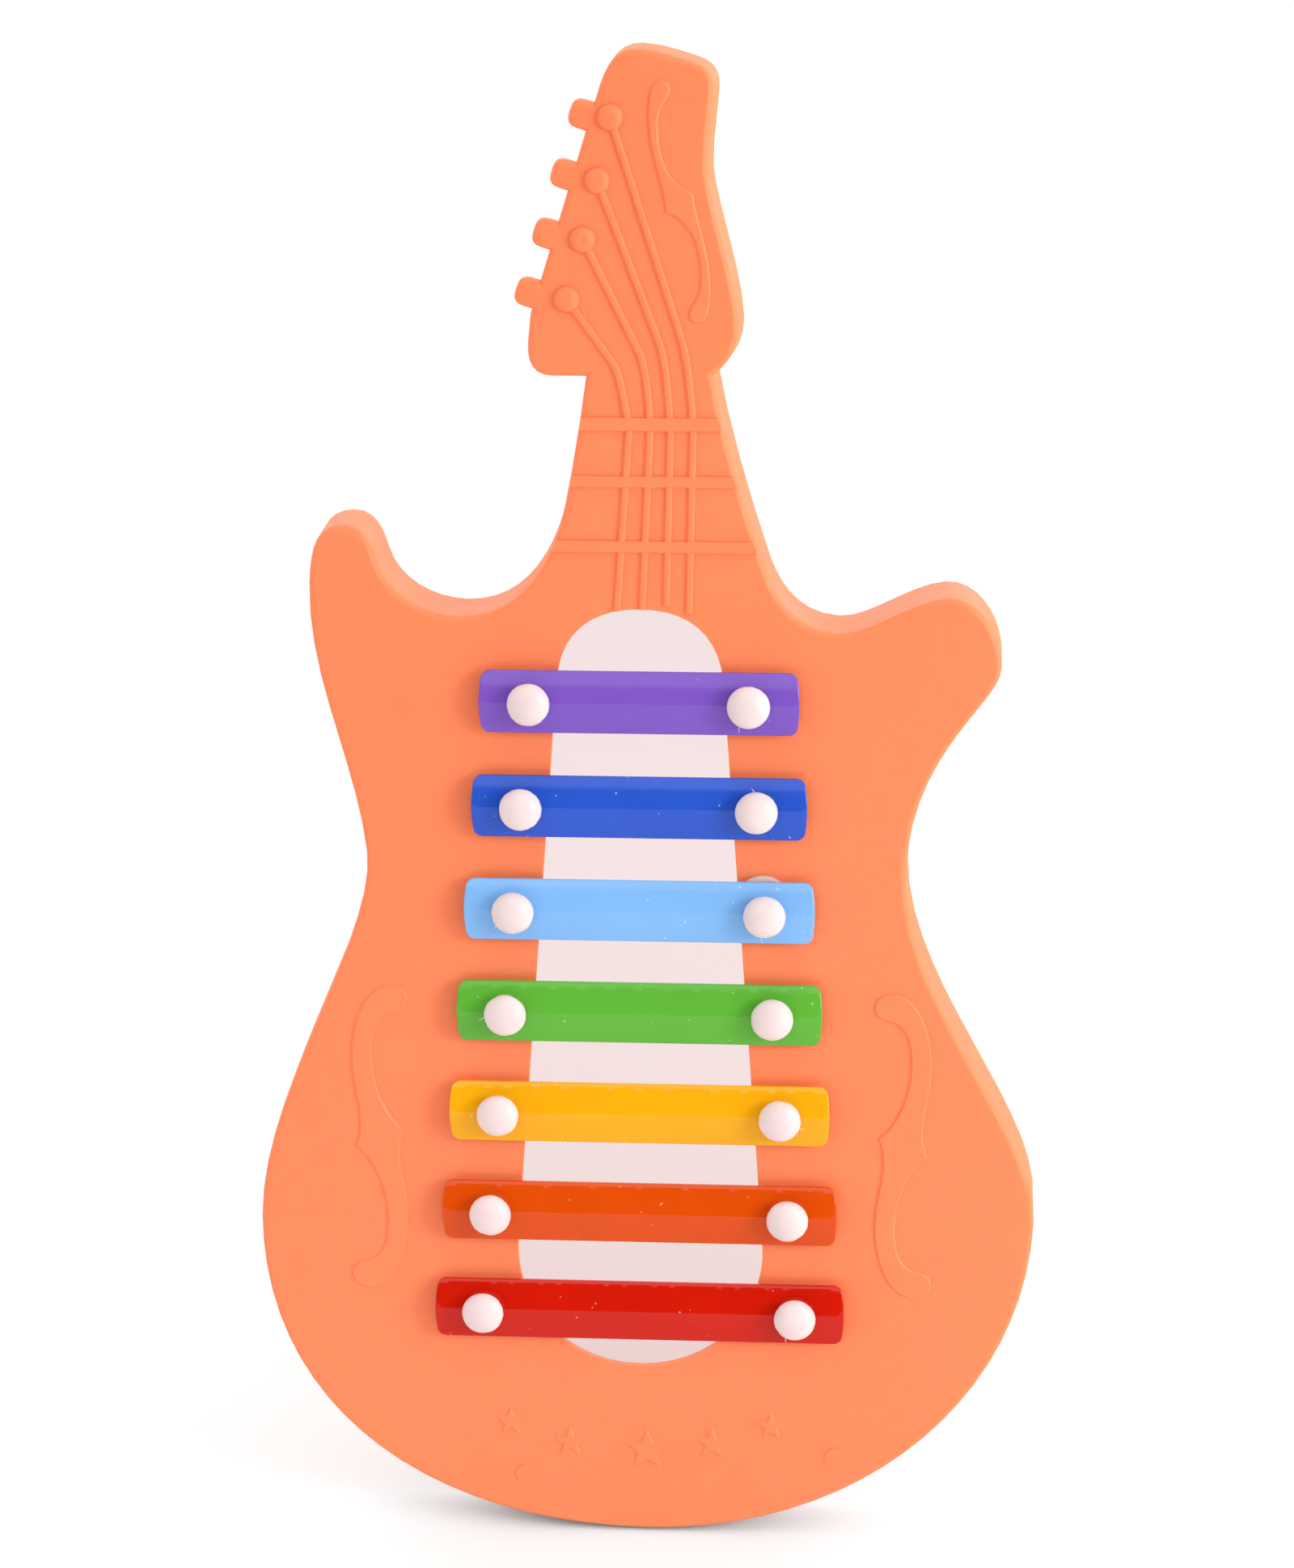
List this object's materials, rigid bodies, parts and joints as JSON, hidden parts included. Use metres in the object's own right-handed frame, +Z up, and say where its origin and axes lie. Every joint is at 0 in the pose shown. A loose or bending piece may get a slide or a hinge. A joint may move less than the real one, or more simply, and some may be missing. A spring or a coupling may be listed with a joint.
{
  "type": "toy guitar glockenspiel",
  "caption": "Guitar-shaped moulded toy body with graded arched metal chime bars held across its sound opening by domed pegs, to be struck or tapped.",
  "frame": {"origin": "middle of the toy's width and depth, at the lowest point of the lower bout as it stands upright", "axes": "+Z up the neck to the headstock, +X to the right seen from the front, the face with the bars looks along -Y and the open back faces +Y"},
  "size_m": [0.21, 0.0328, 0.4011],
  "materials": {
    "shell_plastic": "satin moulded polypropylene, slightly translucent orange",
    "peg_plastic": "soft white moulded plastic with fine flash",
    "ring_soft": "thin soft translucent ring",
    "violet_paint": "gloss violet paint on steel",
    "blue_paint": "gloss blue paint on steel",
    "sky_paint": "gloss light blue paint on steel",
    "green_paint": "gloss green paint on steel",
    "yellow_paint": "gloss yellow paint on steel",
    "orange_paint": "gloss orange-red paint on steel",
    "red_paint": "gloss red paint on steel"
  },
  "bodies": {
    "shell": {"body_shell": "shell_plastic", "peg_1_left": "peg_plastic", "ring_1_left": "ring_soft", "peg_1_right": "peg_plastic", "ring_1_right": "ring_soft", "peg_2_left": "peg_plastic", "ring_2_left": "ring_soft", "peg_2_right": "peg_plastic", "ring_2_right": "ring_soft", "peg_3_left": "peg_plastic", "ring_3_left": "ring_soft", "peg_3_right": "peg_plastic", "ring_3_right": "ring_soft", "peg_4_left": "peg_plastic", "ring_4_left": "ring_soft", "peg_4_right": "peg_plastic", "ring_4_right": "ring_soft", "peg_5_left": "peg_plastic", "ring_5_left": "ring_soft", "peg_5_right": "peg_plastic", "ring_5_right": "ring_soft", "peg_6_left": "peg_plastic", "ring_6_left": "ring_soft", "peg_6_right": "peg_plastic", "ring_6_right": "ring_soft", "peg_7_left": "peg_plastic", "ring_7_left": "ring_soft", "peg_7_right": "peg_plastic", "ring_7_right": "ring_soft"},
    "violet_bar": {"bar_1_violet": "violet_paint"},
    "blue_bar": {"bar_2_blue": "blue_paint"},
    "sky_bar": {"bar_3_sky": "sky_paint"},
    "green_bar": {"bar_4_green": "green_paint"},
    "yellow_bar": {"bar_5_yellow": "yellow_paint"},
    "orange_bar": {"bar_6_orange": "orange_paint"},
    "red_bar": {"bar_7_red": "red_paint"}
  },
  "joints": [
    {"name": "violet_bar_lift", "type": "slide", "parent": "shell", "child": "violet_bar", "axis": [0, -1, 0], "range_m": [0, 0.001]},
    {"name": "blue_bar_lift", "type": "slide", "parent": "shell", "child": "blue_bar", "axis": [0, -1, 0], "range_m": [0, 0.001]},
    {"name": "sky_bar_lift", "type": "slide", "parent": "shell", "child": "sky_bar", "axis": [0, -1, 0], "range_m": [0, 0.001]},
    {"name": "green_bar_lift", "type": "slide", "parent": "shell", "child": "green_bar", "axis": [0, -1, 0], "range_m": [0, 0.001]},
    {"name": "yellow_bar_lift", "type": "slide", "parent": "shell", "child": "yellow_bar", "axis": [0, -1, 0], "range_m": [0, 0.001]},
    {"name": "orange_bar_lift", "type": "slide", "parent": "shell", "child": "orange_bar", "axis": [0, -1, 0], "range_m": [0, 0.001]},
    {"name": "red_bar_lift", "type": "slide", "parent": "shell", "child": "red_bar", "axis": [0, -1, 0], "range_m": [0, 0.001]}
  ]
}
